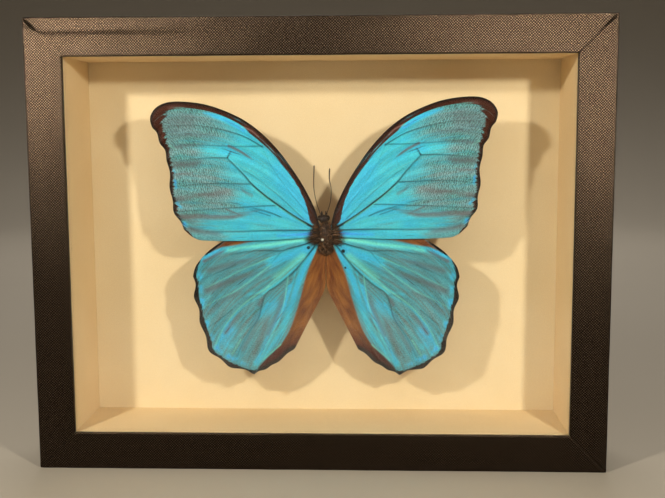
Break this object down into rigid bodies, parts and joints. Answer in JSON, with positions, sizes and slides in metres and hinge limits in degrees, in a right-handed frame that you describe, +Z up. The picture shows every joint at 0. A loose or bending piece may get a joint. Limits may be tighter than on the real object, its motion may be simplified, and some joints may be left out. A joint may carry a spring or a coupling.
{
  "type": "framed butterfly specimen",
  "caption": "Glazed black cloth-covered box frame with a white lining, holding a spread blue butterfly on a pin in front of the backing board.",
  "frame": {"origin": "under the middle of the frame, on the surface that its bottom edge stands on, half way through its depth", "axes": "+X to the right along the width as the front is seen, +Y through the depth from the glass towards the back, +Z up"},
  "size_m": [0.2354, 0.047, 0.1852],
  "materials": {
    "bookcloth": "matte",
    "glass": "gloss",
    "liner_board": "matte",
    "backing_board": "matte",
    "wing_scales": "satin",
    "body_fur": "matte",
    "antenna": "satin",
    "steel": "satin",
    "brass_plated": "satin",
    "hardboard": "matte"
  },
  "bodies": {
    "root": {"rail_top": "bookcloth", "rail_bottom": "bookcloth", "rail_left": "bookcloth", "rail_right": "bookcloth", "glass_pane": "glass", "liner_top": "liner_board", "liner_bottom": "liner_board", "liner_left": "liner_board", "liner_right": "liner_board", "backing_board": "backing_board", "mounting_pin": "steel", "forewing_left": "wing_scales", "forewing_right": "wing_scales", "hindwing_left": "wing_scales", "hindwing_right": "wing_scales", "body": "body_fur", "antenna_left": "antenna", "antenna_right": "antenna", "back_panel": "hardboard", "framer_point_top_left": "steel", "framer_point_top_right": "steel", "framer_point_bottom_left": "steel", "framer_point_bottom_right": "steel", "framer_point_left": "steel", "framer_point_right": "steel", "hanger_plate": "brass_plated", "hanger_nail_left": "brass_plated", "hanger_nail_right": "brass_plated"}
  },
  "joints": []
}
